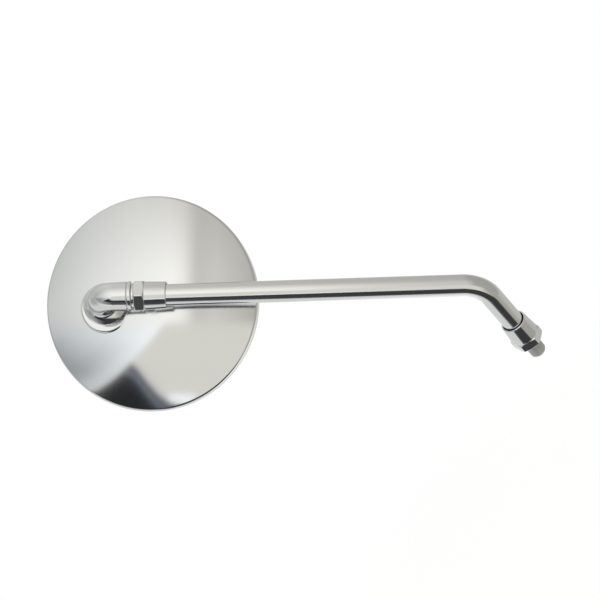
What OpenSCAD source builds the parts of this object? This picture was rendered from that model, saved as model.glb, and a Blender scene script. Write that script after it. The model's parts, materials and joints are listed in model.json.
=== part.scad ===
// Round motorcycle mirror on a bent tubular stem. A pressed shell turns on a clamped
// spherical seat under a cast elbow, and the stem ends in a threaded mounting stud.
// Origin: centre of the lower lock nut's bearing face. The mounting stud points along -Z,
// and the stem bends over towards -X.

/* [Mirror head] */
// Outside diameter of the shell
head_d = 130; // [100:1:160]
// Radius of the domed back
dome_r = 175; // [140:1:260]
// Height of the straight side wall, from the centre of the corner radius to the rim
wall_h = 6; // [5:0.5:12]
// Outside radius where the dome turns into the wall
corner_r = 2.2; // [1.6:0.1:4]
// Sheet thickness of the shell
shell_t = 0.85; // [0.6:0.05:1.1]
// Width of the lip that is rolled in under the glass
lip_w = 3.2; // [2.6:0.1:5]
// Outside radius of the bend from the wall to the lip
rim_bend_r = 1.5; // [1.2:0.1:2]
// Thickness of the mirror glass
glass_t = 2.6; // [2:0.1:4]
// Radius of the gently convex mirror glass
glass_r = 1200; // [800:50:2000]
// Thickness of the foam pad behind the glass
pad_t = 1.8; // [1:0.1:2.4]
// Thickness of the rubber channel round the glass edge
seal_t = 0.9; // [0.6:0.1:1.3]

/* [Ball swivel] */
// Distance from the ball centre to the middle of the head
boss_offset = 25.5; // [20:0.5:34]
// Outside radius of the spherical seat pressed into the shell
ball_r = 12; // [11.5:0.1:13]
// Height of the flat boss above the ball centre
boss_h = 6.7; // [6:0.1:7]
// Width of the flat ring between the ball and the boss's rounded edge
boss_shelf = 3; // [1.8:0.1:5]
// Depth of the flat boss below the top of the dome
boss_sink = 0.8; // [0.4:0.1:1.2]
// Radius of the hole in the spherical seat
seat_hole_r = 6.2; // [6.2:0.1:6.8]
// Thickness of the outer friction ring
outer_ring_t = 0.4; // [0.3:0.05:0.6]
// Thickness of the inner friction ring
inner_ring_t = 0.6; // [0.4:0.05:0.8]
// Running gap between the spherical faces
ball_gap = 0.3; // [0.2:0.05:0.3]
// Thread diameter of the pivot stud
pivot_d = 6; // [5:0.5:6]
// Height of the pressure washer's flat face above the ball centre
pressure_h = 6.5; // [6:0.1:7]
// Outside diameter of the disc springs
spring_d = 12.5; // [11:0.5:13]
// Sheet thickness of each disc spring
spring_t = 0.9; // [0.6:0.1:1]
// Cone height of each disc spring
spring_cone = 0.75; // [0.4:0.05:0.8]
// Width across flats of the pivot nut
pivot_nut_af = 10; // [8:0.5:10]
// Height of the pivot nut
pivot_nut_h = 5.2; // [4:0.1:5.5]
// Length of the pivot stud that shows past its nut
pivot_tail = 1.5; // [0.5:0.1:2]

/* [Elbow] */
// Length of the elbow's straight leg, between the bell and the bend
elbow_leg_l = 2.4; // [0.5:0.1:10]
// Length of the elbow's straight arm, from the bend to its end face
elbow_arm_l = 7.6; // [6:0.1:16]
// Radius of the elbow's pipe beside the bend
pipe_r = 8.4; // [7.6:0.1:8.8]
// Radius of the elbow's pipe at its end face
pipe_end_r = 8.6; // [8:0.1:9.2]
// Radius of the tight inner side of the elbow's bend
elbow_throat_r = 0.8; // [0.5:0.1:6]
// Width of the bell's rim outside the cup
foot_w = 3.5; // [2.8:0.1:5]
// Height of the bell's rim above the flat boss
foot_lift = 4.5; // [4:0.1:6]
// Wall of the bell
foot_t = 1.5; // [1:0.1:2]
// Length of the elbow's threaded hole past the bend
stud_hole_l = 13.1; // [10:0.1:14]

/* [Stem] */
// Outside diameter of the stem tube
tube_d = 12.7; // [11:0.1:13]
// Wall of the stem tube
tube_t = 1.6; // [1.2:0.1:2]
// Height of the stem's corner above the mounting face
corner_h = 55.5; // [45:0.5:90]
// Length from the corner to the pivot axis
stem_l = 221.5; // [150:0.5:300]
// Angle by which the stem bends over
bend_angle = 58.5; // [20:0.5:80]
// Centre-line radius of the stem's bend
bend_r = 20; // [18:1:30]
// Thread diameter of both studs
stud_d = 10; // [10:0.5:11]
// Length of the mounting stud below the lower lock nut
stud_l = 12.3; // [10:0.1:30]

/* [Lock nuts] */
// Width across flats of both lock nuts
nut_af = 17; // [16.5:0.5:19]
// Height of the hexagon of both lock nuts
nut_hex_h = 6.2; // [5:0.1:9]
// Length of the lower lock nut
lower_nut_l = 19; // [16:0.5:26]
// Length of the upper lock nut, from the washer to its mouth
upper_nut_l = 20.3; // [18:0.1:26]
// Height of the round face under the upper nut's hexagon
nut_face_h = 1.5; // [1:0.1:2]
// Wall of the upper lock nut's skirt at its mouth
upper_skirt_t = 1.2; // [0.6:0.05:1.4]
// Wall of the lower lock nut's skirt at its mouth
lower_skirt_t = 0.85; // [0.6:0.05:1.4]
// Thickness of the washer between the upper nut and the elbow
washer_t = 2.3; // [1.5:0.1:3]
// Outside diameter of that washer
washer_d = 17.4; // [15:0.1:18]

/* [Rest pose] */
// Turn of the elbow round the stem
elbow_clock = -30; // [-180:5:180]
// Tilt of the head about the stem's direction
head_pitch = -8.5; // [-10:0.5:10]
// Tilt of the head across the stem's direction
head_yaw = -5.7; // [-10:0.1:10]
// Turn of the head round its own axis
head_spin = 7; // [-180:1:180]
// Turn of the lower lock nut round the stud
lower_nut_clock = 11; // [-30:1:30]
// Turn of the upper lock nut round the stem
upper_nut_clock = 15; // [-30:1:30]

/* [Hidden] */
$fn = 96;

chrome = [0.80, 0.81, 0.82];
zinc = [0.66, 0.67, 0.66];
rubber = [0.08, 0.08, 0.085];
nylon = [0.16, 0.16, 0.17];
silvered = [0.75, 0.80, 0.82];

// Small gaps: a thread in its hole, two still pieces that lie against each other, a washer
// on its stud, and the tube in each nut's skirt
thread_gap = 0.05;
rest_gap = 0.15;
washer_gap = 0.2;
clamp_washer_gap = 0.3;
upper_skirt_gap = 0.4;
lower_skirt_gap = 0.65;
end_gap = 1.5;
thread_depth = 0.4;

// Head levels, along the mirror's axis from the ball centre
apex_z = boss_h + boss_sink;
dome_z = apex_z - dome_r;
corner_x = head_d / 2 - corner_r;
corner_z = dome_z + sqrt(pow(dome_r - corner_r, 2) - pow(corner_x, 2));
rim_z = corner_z - wall_h;
lip_z = rim_z + shell_t;

// Spherical seat, from the outside in
cup_r = ball_r + ball_gap + outer_ring_t + ball_gap;
inner_ring_r = ball_r - shell_t - ball_gap;
pressure_r = inner_ring_r - inner_ring_t - ball_gap;
// Concave round between the ball and the flat boss
boss_fillet = 1;
boss_edge_r = 1.5;
fillet_x = sqrt(pow(ball_r + boss_fillet, 2) - pow(boss_h + boss_fillet, 2));
boss_r = fillet_x + boss_shelf + boss_edge_r;
boss_plate_t = 1.2;
boss_plate_flange = 3.2;

// Reach of the cup and of each friction ring, as angles from the pivot axis
cup_angle = 48;
cup_floor_angle = 41;
outer_ring_from = 27;
outer_ring_to = 43;
inner_ring_from = 35;
inner_ring_to = 48;

// Glass, in its rubber channel
seal_outer_r = head_d / 2 - shell_t - rest_gap;
glass_rim_r = seal_outer_r - seal_t - rest_gap;
glass_edge_z = lip_z + seal_t + rest_gap;
glass_centre_z = glass_edge_z + sqrt(pow(glass_r, 2) - pow(glass_rim_r, 2));
pad_inset = 3.5;
seal_leg = 1.4;

// Clamp stack under the pressure washer
spring_h = spring_t + spring_cone;
pivot_washer_z = pressure_h - 2 * spring_h;
pivot_washer_t = 1;
pivot_nut_z = pivot_washer_z - pivot_washer_t;
pivot_stud_z = pivot_nut_z - pivot_nut_h - pivot_tail;
pivot_bore_r = pivot_d / 2;
pivot_stud_r = pivot_bore_r - thread_gap;
pivot_stud_chamfer = 0.6;
pivot_hole_floor = 1;
collar_drop = 0.4;
collar_taper = 0.6;
hex_share = 0.72;

// Elbow, in heights above the ball centre
cup_wall_r = cup_r * sin(cup_angle);
foot_r = cup_wall_r + foot_w;
foot_h = boss_h + foot_lift;
bell_r = sqrt(pow(foot_r, 2) + pow(foot_h, 2));
bell_fillet = 2;
bell_fillet_x = pipe_r + bell_fillet;
bell_fillet_h = sqrt(pow(bell_r + bell_fillet, 2) - pow(bell_fillet_x, 2));
elbow_bend_r = pipe_r + elbow_throat_r;
elbow_reach = elbow_bend_r + elbow_arm_l;
pivot_drop = bell_fillet_h + elbow_leg_l + elbow_bend_r;
pipe_chamfer = 0.5;

// Studs and tube
thread_r = stud_d / 2 - thread_depth;
thread_bore_r = thread_r + thread_gap;
tube_bore_r = tube_d / 2 - tube_t;
bend_tangent = bend_r * tan(bend_angle / 2);
nut_floor = nut_hex_h + 1.8;
tube_start = nut_floor + end_gap;
upper_face = stem_l - elbow_reach - washer_t;
tube_end = upper_face - nut_face_h - nut_floor - end_gap;
plug_l = 18;
stud_end_gap = 0.3;
stud_chamfer = 1.2;

// Lock nuts: tapers of their skirts, and the edges of hexagon, face and mouth
upper_skirt_taper = 0.35;
lower_skirt_taper = 1;
skirt_lip = 0.8;
skirt_neck = 0.3;
face_inset = 1.1;
hex_edge = 0.1;
countersink = 0.4;
washer_round = 0.5;

// Rounded sector of a ring about the origin, between two angles from the Y axis
module sector(r_out, r_in, from, to) {
    reach = 2 * r_out;
    intersection() {
        difference() {
            circle(r_out);
            circle(r_in);
        }
        polygon([[0, 0], [reach * sin(from), reach * cos(from)], [reach * sin(to), reach * cos(to)]]);
    }
}

// Places the straight part of the stem: its Z runs from the corner to the elbow
module on_stem() {
    translate([0, 0, corner_h]) rotate([0, -bend_angle, 0]) children();
}

// Places what turns about the ball centre: Z runs up into the elbow, or along the mirror's axis
module on_ball(pitch, yaw, spin) {
    on_stem()
        translate([0, 0, stem_l])
            rotate([0, 0, elbow_clock])
                translate([-pivot_drop, 0, 0])
                    rotate([0, 0, pitch])
                        rotate([0, yaw, 0])
                            rotate([0, 90, 0])
                                rotate([0, 0, spin]) children();
}

// Places the pieces that stay with the elbow
module on_pivot() {
    on_ball(0, 0, 0) children();
}

// Places the head: X runs from the ball centre to the middle of the disc
module on_head() {
    on_ball(head_pitch, head_yaw, head_spin) children();
}

// Half section of the domed cap, set in by a sheet thickness for its inside
module cap_section(inset, floor_z) {
    r = dome_r - inset;
    lean = atan2(corner_x, corner_z - dome_z);
    touch = [r * sin(lean), dome_z + r * cos(lean)];
    intersection() {
        translate([0, dome_z]) circle(r, $fn = 720);
        translate([0, corner_z]) square([touch[0], apex_z - corner_z + 1]);
    }
    polygon([[0, corner_z], [corner_x, corner_z], touch, [0, touch[1]]]);
    translate([corner_x, corner_z]) circle(corner_r - inset);
    translate([0, floor_z]) square([head_d / 2 - inset, corner_z - floor_z]);
}

// Half section of the flat boss and the ball that stands on it
module boss_section(inset) {
    base_z = corner_z;
    top_z = boss_h - inset;
    edge = boss_edge_r - inset;
    r = ball_r - inset;
    lean = atan2(fillet_x, boss_h + boss_fillet);
    translate([0, base_z]) square([boss_r - inset, boss_h - boss_edge_r - base_z]);
    translate([0, base_z]) square([boss_r - boss_edge_r, top_z - base_z]);
    translate([boss_r - boss_edge_r, boss_h - boss_edge_r]) circle(edge);
    intersection() {
        circle(r);
        translate([0, top_z - 1]) square([r, r]);
    }
    difference() {
        polygon([[0, top_z - 0.5], [fillet_x, top_z - 0.5], [fillet_x, boss_h + boss_fillet],
            [r * sin(lean), r * cos(lean)], [0, r * cos(lean)]]);
        translate([fillet_x, boss_h + boss_fillet]) circle(boss_fillet + inset);
    }
}

// Pressed steel shell with its rolled lip and spherical seat
module shell() {
    bend_x = head_d / 2 - rim_bend_r;
    bend_z = rim_z + rim_bend_r;
    color(chrome) on_head() difference() {
        union() {
            translate([boss_offset, 0, 0]) rotate_extrude() {
                cap_section(0, bend_z);
                translate([bend_x, bend_z]) circle(rim_bend_r);
                translate([0, rim_z]) square([bend_x, rim_bend_r]);
            }
            rotate_extrude() boss_section(0);
        }
        translate([boss_offset, 0, 0]) rotate_extrude() {
            cap_section(shell_t, bend_z);
            translate([bend_x, bend_z]) circle(rim_bend_r - shell_t);
            translate([0, lip_z]) square([bend_x, bend_z - lip_z]);
            translate([0, rim_z - 1]) square([head_d / 2 - lip_w, shell_t + 2]);
        }
        rotate_extrude() boss_section(shell_t);
        cylinder(r = seat_hole_r, h = 2 * ball_r);
    }
}

// Stiffening ring spot-welded under the flat boss
module boss_plate() {
    outer = boss_r - boss_edge_r - rest_gap;
    inner = fillet_x;
    top = boss_h - shell_t;
    color(zinc) on_head() rotate_extrude() {
        translate([inner, top - boss_plate_t]) square([outer - inner, boss_plate_t]);
        translate([outer - boss_plate_t, top - boss_plate_flange])
            square([boss_plate_t, boss_plate_flange - rest_gap]);
    }
}

// Band that follows the convex glass
module glass_band(face_r, t, edge_r) {
    translate([0, glass_centre_z]) intersection() {
        difference() {
            circle(face_r, $fn = 1440);
            circle(face_r - t, $fn = 1440);
        }
        translate([0, -glass_r - 1]) square([edge_r, glass_r / 2]);
    }
}

// Convex mirror glass
module glass() {
    color(silvered) on_head()
        translate([boss_offset, 0, 0]) rotate_extrude() glass_band(glass_r, glass_t, glass_rim_r);
}

// Foam pad bonded to the back of the glass
module glass_pad() {
    color(rubber) on_head()
        translate([boss_offset, 0, 0]) rotate_extrude()
            glass_band(glass_r - glass_t - rest_gap, pad_t, glass_rim_r - pad_inset);
}

// Rubber channel that holds the glass edge above the rolled lip
module rim_seal() {
    slot = glass_t + 2 * rest_gap;
    inner = glass_rim_r - seal_leg;
    top = lip_z + slot + 2 * seal_t;
    cut = rim_bend_r - shell_t;
    color(rubber) on_head() translate([boss_offset, 0, 0]) rotate_extrude() difference() {
        polygon([[inner, lip_z], [seal_outer_r - cut, lip_z], [seal_outer_r, lip_z + cut],
            [seal_outer_r, top], [inner, top]]);
        translate([inner - 1, lip_z + seal_t]) square([seal_leg + 1 + rest_gap, slot]);
    }
}

// Spherical ring between the elbow's cup and the shell's ball
module outer_friction_ring() {
    r = cup_r - ball_gap;
    color(nylon) on_ball(head_pitch, 0, 0) rotate_extrude()
        sector(r, r - outer_ring_t, outer_ring_from, outer_ring_to);
}

// Spherical ring under the shell's ball
module inner_friction_ring() {
    color(nylon) on_head() rotate_extrude()
        sector(inner_ring_r, inner_ring_r - inner_ring_t, inner_ring_from, inner_ring_to);
}

// Domed washer that presses the inner ring into the ball
module pressure_washer() {
    color(zinc) on_pivot() rotate_extrude() intersection() {
        circle(pressure_r);
        translate([pivot_bore_r + rest_gap, pressure_h]) square(pressure_r);
    }
}

// Two disc springs, back to back
module disc_springs() {
    inner = pivot_bore_r + rest_gap;
    outer = spring_d / 2;
    color(zinc) on_pivot() rotate_extrude() {
        translate([0, pressure_h - spring_h])
            polygon([[inner, 0], [outer, spring_cone], [outer, spring_h], [inner, spring_t]]);
        translate([0, pivot_washer_z])
            polygon([[inner, spring_cone], [outer, 0], [outer, spring_t], [inner, spring_h]]);
    }
}

// Flat washer under the pivot nut
module pivot_washer() {
    color(zinc) on_pivot() translate([0, 0, pivot_nut_z]) difference() {
        cylinder(d = spring_d, h = pivot_washer_t);
        translate([0, 0, -1]) cylinder(r = pivot_bore_r + washer_gap, h = pivot_washer_t + 2);
    }
}

// Self-locking nut that sets the swivel's friction
module pivot_nut() {
    hex_h = pivot_nut_h * hex_share;
    collar_r = pivot_nut_af / 2 - collar_drop;
    color(zinc) on_pivot() translate([0, 0, pivot_nut_z]) mirror([0, 0, 1]) difference() {
        union() {
            chamfered_hex(pivot_nut_af, hex_h);
            cylinder(r1 = collar_r, r2 = collar_r - collar_taper, h = pivot_nut_h);
        }
        translate([0, 0, -1]) cylinder(r = pivot_bore_r, h = pivot_nut_h + 2);
    }
}

// Pivot stud, pressed into the elbow
module pivot_stud() {
    top = pivot_drop - thread_bore_r - pivot_hole_floor;
    chamfer = pivot_stud_chamfer;
    color(zinc) on_pivot() translate([0, 0, pivot_stud_z]) {
        cylinder(r1 = pivot_stud_r - chamfer, r2 = pivot_stud_r, h = chamfer);
        translate([0, 0, chamfer]) cylinder(r = pivot_stud_r, h = top - pivot_stud_z - chamfer);
    }
}

// Half section of the elbow's foot: bell, cup and groove between them
module foot_section() {
    lean = atan2(bell_fillet_x, bell_fillet_h);
    leg_top = pivot_drop - elbow_bend_r;
    difference() {
        union() {
            translate([0, foot_h]) square([pipe_r, leg_top - foot_h]);
            intersection() {
                circle(bell_r);
                translate([0, foot_h]) square([bell_r, bell_r]);
            }
            difference() {
                polygon([[pipe_r - 1, bell_fillet_h], [bell_fillet_x, bell_fillet_h],
                    [bell_r * sin(lean), bell_r * cos(lean)], [pipe_r - 1, bell_r * cos(lean) - 1]]);
                translate([bell_fillet_x, bell_fillet_h]) circle(bell_fillet);
            }
            translate([0, cup_r * cos(cup_floor_angle)]) square([cup_wall_r, foot_h]);
        }
        intersection() {
            circle(bell_r - foot_t);
            translate([cup_wall_r, 0]) square(bell_r);
        }
        circle(cup_r);
    }
}

// Cast elbow with the stem's thread, the bell and the spherical cup
module elbow() {
    color(chrome) difference() {
        union() {
            on_pivot() rotate_extrude() foot_section();
            on_pivot()
                translate([elbow_bend_r, 0, pivot_drop - elbow_bend_r])
                    rotate([-90, 180, 0])
                        rotate_extrude(angle = 90) translate([elbow_bend_r, 0]) circle(pipe_r);
            on_pivot() translate([0, 0, pivot_drop]) rotate([0, 90, 0]) {
                translate([0, 0, elbow_bend_r])
                    cylinder(r1 = pipe_r, r2 = pipe_end_r, h = elbow_reach - elbow_bend_r - pipe_chamfer);
                translate([0, 0, elbow_reach - pipe_chamfer])
                    cylinder(r1 = pipe_end_r, r2 = pipe_end_r - pipe_chamfer, h = pipe_chamfer);
            }
        }
        on_pivot() cylinder(r = pivot_bore_r, h = pivot_drop - thread_bore_r - pivot_hole_floor);
        on_pivot() translate([elbow_reach - stud_hole_l, 0, pivot_drop]) rotate([0, 90, 0])
            cylinder(r = thread_bore_r, h = stud_hole_l + 1);
    }
}

// Thick washer between the upper lock nut and the elbow
module elbow_washer() {
    round_r = washer_round;
    r = washer_d / 2;
    inner = thread_r + clamp_washer_gap;
    color(chrome) on_stem() translate([0, 0, upper_face]) rotate_extrude() {
        translate([inner, 0]) square([r - round_r - inner, washer_t]);
        translate([inner, round_r]) square([r - inner, washer_t - 2 * round_r]);
        translate([r - round_r, round_r]) circle(round_r);
        translate([r - round_r, washer_t - round_r]) circle(round_r);
    }
}

// Hexagon with its corners turned off at both ends
module chamfered_hex(af, h) {
    corner = af / sqrt(3);
    flat = af / 2 - hex_edge;
    rise = (corner - flat) * tan(30);
    intersection() {
        cylinder(r = corner, h = h, $fn = 6);
        rotate_extrude() polygon([[0, 0], [flat, 0], [corner, rise], [corner, h - rise], [flat, h], [0, h]]);
    }
}

// Lock nut with a skirt that hides the end of the tube; its bearing face is at Z = 0
module lock_nut(face_h, length, gap, wall, taper) {
    skirt_z = face_h + nut_hex_h;
    skirt_bore_r = tube_d / 2 + gap;
    mouth_r = skirt_bore_r + wall;
    root_r = mouth_r + taper;
    lip_r = skirt_lip;
    sink_r = stud_d / 2 + countersink;
    difference() {
        union() {
            cylinder(r = nut_af / 2 - face_inset, h = face_h + 1);
            translate([0, 0, face_h]) chamfered_hex(nut_af, nut_hex_h);
            rotate_extrude() {
                polygon([[0, skirt_z - 1], [root_r, skirt_z - skirt_neck], [root_r, skirt_z + skirt_neck],
                    [mouth_r, length - lip_r], [0, length - lip_r]]);
                translate([0, skirt_z]) square([mouth_r - lip_r, length - skirt_z]);
                translate([mouth_r - lip_r, length - lip_r]) circle(lip_r);
            }
        }
        translate([0, 0, -1]) cylinder(r = thread_bore_r, h = length + 2);
        translate([0, 0, face_h + nut_floor]) cylinder(r = skirt_bore_r, h = length);
        translate([0, 0, -0.01])
            cylinder(r1 = sink_r, r2 = thread_bore_r - 0.01, h = sink_r + 0.01 - thread_bore_r);
    }
}

// Lock nut that clamps the stem to the elbow
module upper_lock_nut() {
    color(chrome) on_stem() translate([0, 0, upper_face]) rotate([0, 0, upper_nut_clock])
        mirror([0, 0, 1])
            lock_nut(nut_face_h, upper_nut_l, upper_skirt_gap, upper_skirt_t, upper_skirt_taper);
}

// Lock nut that clamps the stem to the handlebar's clamp
module lower_lock_nut() {
    color(chrome) rotate([0, 0, lower_nut_clock])
        lock_nut(0, lower_nut_l, lower_skirt_gap, lower_skirt_t, lower_skirt_taper);
}

// Path of the stem as a rod of one radius. The straights run a little way into the bend,
// which is drawn a hair thinner, so that the pieces join cleanly.
module stem_rod(r, from, to) {
    lap = 0.2;
    hair = 0.01;
    translate([0, 0, from]) cylinder(r = r, h = corner_h - bend_tangent + lap - from);
    translate([-bend_r, 0, corner_h - bend_tangent]) rotate([90, 0, 0])
        rotate_extrude(angle = bend_angle) translate([bend_r, 0]) circle(r - hair);
    on_stem() translate([0, 0, bend_tangent - lap]) cylinder(r = r, h = to - bend_tangent + lap);
}

// Bent steel tube
module stem_tube() {
    color(chrome) difference() {
        stem_rod(tube_d / 2, tube_start, tube_end);
        stem_rod(tube_bore_r, tube_start - 1, tube_end + 1);
    }
}

// Threaded stud brazed into the upper end of the tube
module upper_stud() {
    reach = upper_face + washer_t + stud_hole_l - stud_end_gap - tube_end;
    color(zinc) on_stem() {
        translate([0, 0, tube_end - plug_l]) cylinder(r = tube_bore_r - thread_gap, h = plug_l);
        translate([0, 0, tube_end]) cylinder(r = thread_r, h = reach);
    }
}

// Threaded mounting stud brazed into the lower end of the tube
module lower_stud() {
    chamfer = stud_chamfer;
    color(zinc) {
        translate([0, 0, -stud_l]) cylinder(r1 = stud_d / 2 - chamfer, r2 = stud_d / 2, h = chamfer);
        translate([0, 0, chamfer - stud_l]) cylinder(r = stud_d / 2, h = stud_l - chamfer);
        cylinder(r = thread_r, h = tube_start);
        translate([0, 0, tube_start]) cylinder(r = tube_bore_r - thread_gap, h = plug_l);
    }
}

shell();
boss_plate();
glass();
glass_pad();
rim_seal();
outer_friction_ring();
inner_friction_ring();
pressure_washer();
disc_springs();
pivot_washer();
pivot_nut();
pivot_stud();
elbow();
elbow_washer();
upper_lock_nut();
stem_tube();
upper_stud();
lower_stud();
lower_lock_nut();
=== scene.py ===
"""Round motorcycle mirror on a cranked stem: visible pieces and a plain studio.

Sizes at the top follow the CAD source, in millimetres. Pieces are skins of rings whose
normals are weighed by face area, so that the chrome reflects cleanly. The pieces wear the
frame's plain materials: the finishes written here are not reached, as finish_of says.
"""

import json
import math

import bpy
from bpy.props import FloatProperty
from bpy.props import FloatVectorProperty
from bpy.props import IntProperty
from bpy.props import PointerProperty
from mathutils import Matrix
from mathutils import Vector


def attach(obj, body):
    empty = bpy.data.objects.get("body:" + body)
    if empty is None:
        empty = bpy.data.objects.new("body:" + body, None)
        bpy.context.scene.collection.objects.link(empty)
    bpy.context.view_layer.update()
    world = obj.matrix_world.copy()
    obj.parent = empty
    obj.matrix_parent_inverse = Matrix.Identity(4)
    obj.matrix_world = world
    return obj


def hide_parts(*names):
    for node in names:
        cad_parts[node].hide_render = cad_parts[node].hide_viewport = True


bl_info = {
    "name": "Round Motorcycle Mirror",
    "version": (1, 0, 0),
    "blender": (4, 5, 0),
    "location": "3D View > Sidebar > Mirror",
    "description": "Chromed round mirror with a ball swivel, an elbow and a cranked stem",
    "category": "Object",
}

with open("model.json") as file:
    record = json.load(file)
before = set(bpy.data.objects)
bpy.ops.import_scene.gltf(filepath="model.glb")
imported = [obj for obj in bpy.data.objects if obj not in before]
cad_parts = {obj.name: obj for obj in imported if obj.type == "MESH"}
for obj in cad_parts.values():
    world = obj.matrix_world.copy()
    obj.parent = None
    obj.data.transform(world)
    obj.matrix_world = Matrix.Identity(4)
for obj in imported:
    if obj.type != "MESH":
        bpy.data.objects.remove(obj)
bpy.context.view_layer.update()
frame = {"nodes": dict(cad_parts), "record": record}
MM = 0.001

# Mirror head, in millimetres, along the mirror's axis from the ball centre
HEAD_R = 64.99  # the CAD's 65, and a hair less to stay inside its box
DOME_R = 175.0
WALL_H = 6.0
CORNER_R = 2.2
SHEET_T = 0.85
LIP_W = 3.2
RIM_BEND_R = 1.5
GLASS_T = 2.6
GLASS_R = 1200.0
SEAL_T = 0.9
REST_GAP = 0.15
BOSS_OFFSET = 25.5
BALL_R = 12.0
BOSS_H = 6.7
BOSS_SHELF = 3.0
BOSS_SINK = 0.8
BOSS_EDGE_R = 1.5
BOSS_FILLET = 1.0
SEAT_HOLE_R = 6.2
FILLET_X = math.sqrt((BALL_R + BOSS_FILLET) ** 2 - (BOSS_H + BOSS_FILLET) ** 2)
BOSS_R = FILLET_X + BOSS_SHELF + BOSS_EDGE_R
APEX_Z = BOSS_H + BOSS_SINK
DOME_Z = APEX_Z - DOME_R
CORNER_X = HEAD_R - CORNER_R
CORNER_Z = DOME_Z + math.sqrt((DOME_R - CORNER_R) ** 2 - CORNER_X ** 2)
RIM_Z = CORNER_Z - WALL_H
LIP_Z = RIM_Z + SHEET_T

# Elbow
CUP_R = 13.0
CUP_ANGLE = math.radians(48)
CUP_LIP_DEGREES = 42.5  # the ball cup ends here, so that its lip clears the boss when the head tilts
PIPE_R = 8.4
PIPE_END_R = 8.6
ELBOW_BEND_R = PIPE_R + 0.8
ELBOW_REACH = ELBOW_BEND_R + 7.6
CUP_WALL_R = CUP_R * math.sin(CUP_ANGLE)
FOOT_R = CUP_WALL_R + 3.5
FOOT_H = BOSS_H + 4.5
FOOT_T = 1.5
BELL_R = math.hypot(FOOT_R, FOOT_H)
BELL_FILLET = 2.0
BELL_FILLET_X = PIPE_R + BELL_FILLET
BELL_FILLET_H = math.sqrt((BELL_R + BELL_FILLET) ** 2 - BELL_FILLET_X ** 2)
ELBOW_LEG_L = 2.4
PIVOT_DROP = BELL_FILLET_H + ELBOW_LEG_L + ELBOW_BEND_R
PIVOT_BORE_R = 3.0

# Stem, studs and nuts
TUBE_R = 6.35
TUBE_BORE_R = 4.75
CORNER_H = 55.5
STEM_L = 221.5
BEND_ANGLE = math.radians(58.5)
BEND_R = 20.0
STUD_R = 5.0
THREAD_ROOT_R = 4.6
STUD_L = 12.3
NUT_AF = 17.0
NUT_HEX_H = 6.2
NUT_FLOOR = 8.0
LOWER_NUT_L = 19.0
UPPER_NUT_L = 20.3
NUT_FACE_H = 1.5
WASHER_T = 2.3
WASHER_R = 8.7
THREAD_BORE_R = 4.65
UPPER_FACE = STEM_L - ELBOW_REACH - WASHER_T
TUBE_START = NUT_FLOOR + 1.5
TUBE_END = UPPER_FACE - NUT_FACE_H - TUBE_START

# Rest pose, in degrees
ELBOW_CLOCK = -30.0
HEAD_PITCH = -8.5
HEAD_YAW = -5.7
HEAD_SPIN = 7.0
LOWER_NUT_CLOCK = 11.0
UPPER_NUT_CLOCK = 15.0

# Camera: its three axes as rows, its place in metres and its lens in millimetres
CAMERA_RIGHT = (0.819398, 0.014599, -0.573039)
CAMERA_UP = (0.394545, 0.710838, 0.582275)
CAMERA_BACK = (0.415838, -0.703205, 0.576699)
CAMERA_PLACE = (0.30959, -0.68181, 0.66294)
SENSOR = 36.0

# Share of the light that the plain chrome gives back, by which the studio's cards are set
CHROME_SHINE = 0.771


class MirrorSettings(bpy.types.PropertyGroup):
    """Sizes and colours that a user may change."""

    thread_pitch: FloatProperty(
        name="Thread pitch", description="Distance from one turn of the stud's thread to the next",
        default=0.0015, min=0.0008, max=0.002, precision=5, unit="LENGTH")
    thread_turns_around: IntProperty(
        name="Thread segments", description="Points in one turn of the thread",
        default=96, min=48, max=160)
    nut_edge: FloatProperty(
        name="Nut edge", description="Softness of the hexagons' polished edges",
        default=0.0004, min=0.0001, max=0.001, precision=5, unit="LENGTH")
    boss_blend: FloatProperty(
        name="Boss blend", description="Softness of the line where the boss meets the dome",
        default=0.0005, min=0.0001, max=0.002, precision=5, unit="LENGTH")
    chrome_colour: FloatVectorProperty(
        name="Chrome", description="Colour of the bright chrome",
        default=(0.775, 0.778, 0.782), size=3, min=0.0, max=1.0, subtype="COLOR")
    stud_colour: FloatVectorProperty(
        name="Stud steel", description="Colour of the bare threaded steel",
        default=(0.86, 0.855, 0.84), size=3, min=0.0, max=1.0, subtype="COLOR")
    floor_colour: FloatVectorProperty(
        name="Floor", description="Colour of the pale floor",
        default=(0.90, 0.90, 0.89), size=3, min=0.0, max=1.0, subtype="COLOR")
    floor_drop: FloatProperty(
        name="Floor depth", description="Depth of the floor under the mounting face",
        default=0.30, min=0.02, max=1.0, unit="LENGTH")
    lens: FloatProperty(
        name="Lens", description="Focal length of the camera in millimetres",
        default=99.92, min=20.0, max=200.0)


# Points and frames

def turn(degrees, axis):
    """Rotation matrix."""
    return Matrix.Rotation(math.radians(degrees), 4, axis)


def shift(x, y, z):
    """Translation matrix, from millimetres kept as they are."""
    return Matrix.Translation(Vector((x, y, z)))


def on_stem():
    """Straight part of the stem: Z runs from the corner to the elbow."""
    return shift(0, 0, CORNER_H) @ Matrix.Rotation(-BEND_ANGLE, 4, "Y")


def on_ball(pitch, yaw, spin):
    """Ball centre, with Z up into the elbow or along the mirror's axis."""
    place = on_stem() @ shift(0, 0, STEM_L) @ turn(ELBOW_CLOCK, "Z") @ shift(-PIVOT_DROP, 0, 0)
    return place @ turn(pitch, "Z") @ turn(yaw, "Y") @ turn(90, "Y") @ turn(spin, "Z")


def on_pivot():
    """Elbow's frame about the ball centre."""
    return on_ball(0, 0, 0)


def on_head():
    """Head's frame about the ball centre: X runs to the middle of the disc."""
    return on_ball(HEAD_PITCH, HEAD_YAW, HEAD_SPIN)


# Profiles

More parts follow.
